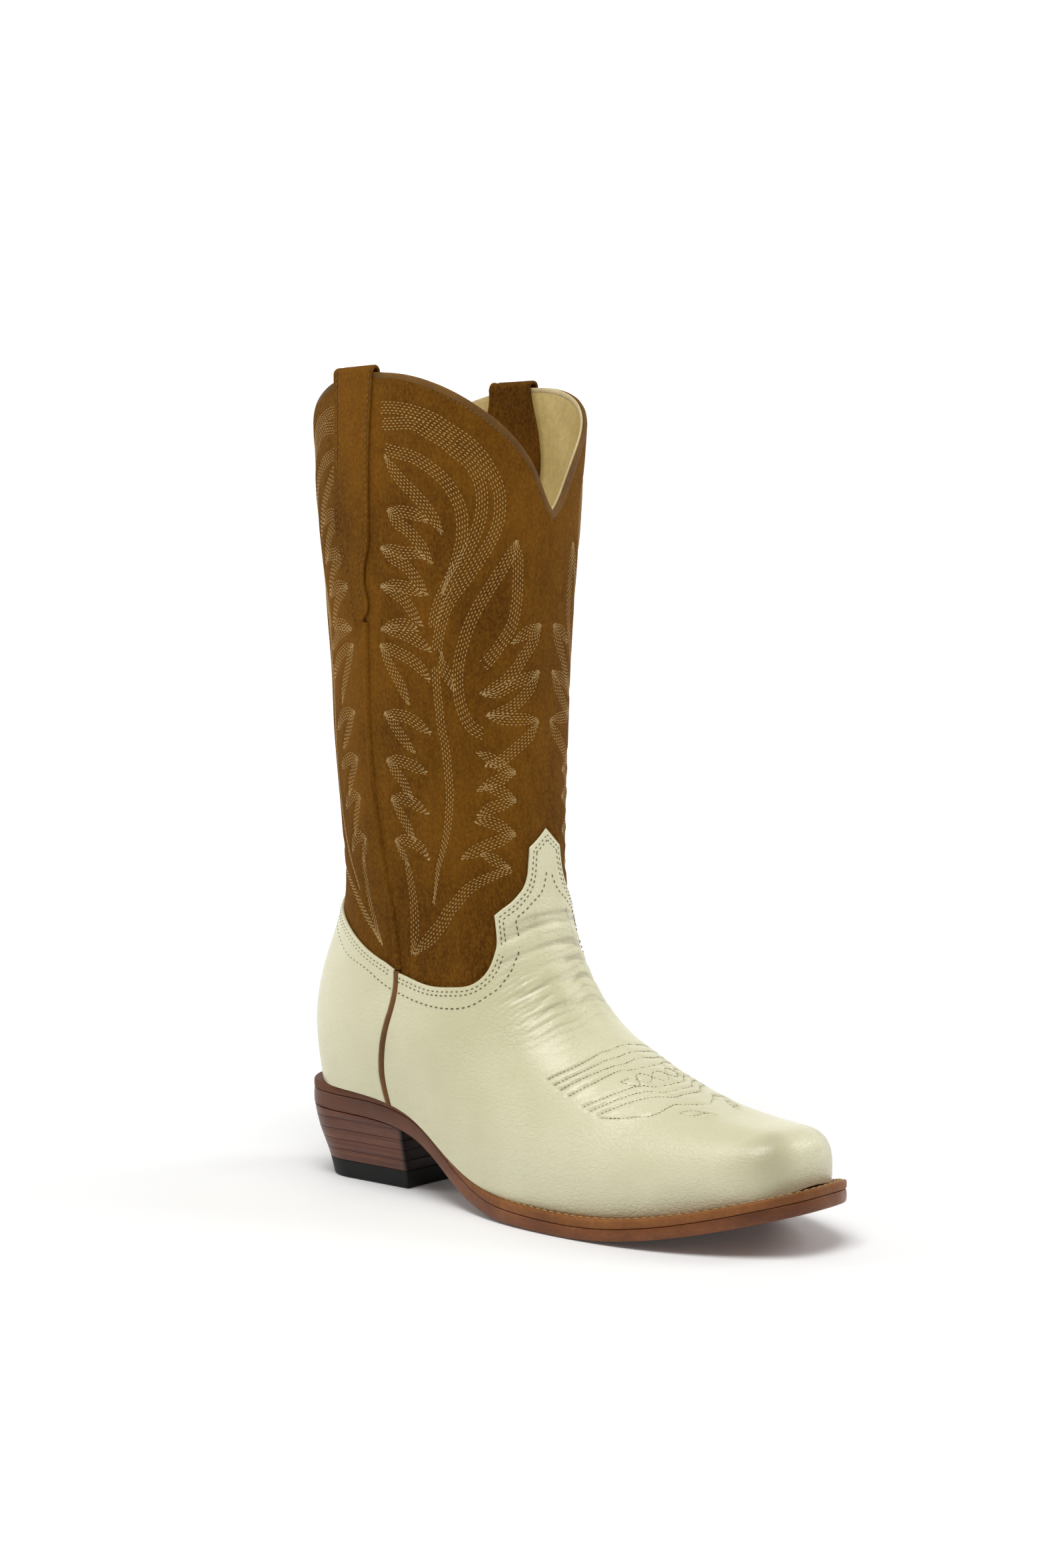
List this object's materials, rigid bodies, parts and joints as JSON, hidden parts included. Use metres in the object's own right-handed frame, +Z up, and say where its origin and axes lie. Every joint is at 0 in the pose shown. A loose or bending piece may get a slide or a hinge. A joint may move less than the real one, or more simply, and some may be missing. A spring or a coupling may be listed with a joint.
{
  "type": "cowboy boot",
  "caption": "Right western boot with a scalloped tan suede shaft, pull straps, cream leather vamp and counter, welted leather sole and underslung stacked heel.",
  "frame": {"origin": "middle of the boot's bounding box in plan, on the ground under it", "axes": "+X towards the toe, +Z up the shaft, +Y to the wearer's left (inner) side; the outer side is -Y"},
  "size_m": [0.2604, 0.1042, 0.3423],
  "materials": {
    "suede": "tan suede with a short uneven nap, honey to dark brown patches",
    "cream_leather": "smooth cream calf leather with fine grain and flex creases, soft gloss",
    "lining_leather": "pale beige pigskin lining, matt",
    "piping": "dark tan leather piping",
    "edge_binding": "tan rolled edge",
    "sole_leather": "reddish-brown oiled sole leather with a burnished edge",
    "welt_leather": "brown welt leather",
    "heel_leather": "stacked heel leather, dark red-brown, thin layer lines",
    "heel_rubber": "black rubber, satin",
    "insole_leather": "natural vegetable-tanned leather",
    "stiffener": "fibre board and leather board",
    "cork": "ground cork filler",
    "steel": "tempered spring steel",
    "nail_brass": "brass heel nails",
    "peg_wood": "lemonwood pegs",
    "thread": "waxed sewing thread, pale on the suede and darker on the cream leather"
  },
  "bodies": {
    "root": {"heel_cap": "heel_rubber", "heel_cap_nails": "nail_brass", "outsole": "sole_leather", "wooden_pegs": "peg_wood", "welt": "welt_leather", "heel_rand": "welt_leather", "insole_rib": "insole_leather", "cork_filler": "cork", "steel_shank": "steel", "shank_cover": "insole_leather", "insole": "insole_leather", "sock_liner": "lining_leather", "vamp": "cream_leather", "counter_cover": "cream_leather", "counter_stiffener": "stiffener", "toe_puff": "stiffener", "vamp_lining": "lining_leather", "heel_lining": "lining_leather", "shaft_front": "suede", "shaft_back": "suede", "shaft_lining_front": "lining_leather", "shaft_lining_back": "lining_leather", "top_binding_front": "edge_binding", "top_binding_back": "edge_binding", "side_piping_outer": "piping", "side_piping_inner": "piping", "pull_strap_outer": "suede", "pull_strap_inner": "suede", "heel_lift_1": "heel_leather", "heel_lift_2": "heel_leather", "heel_lift_3": "heel_leather", "heel_lift_4": "heel_leather", "heel_lift_5": "heel_leather"}
  },
  "joints": []
}
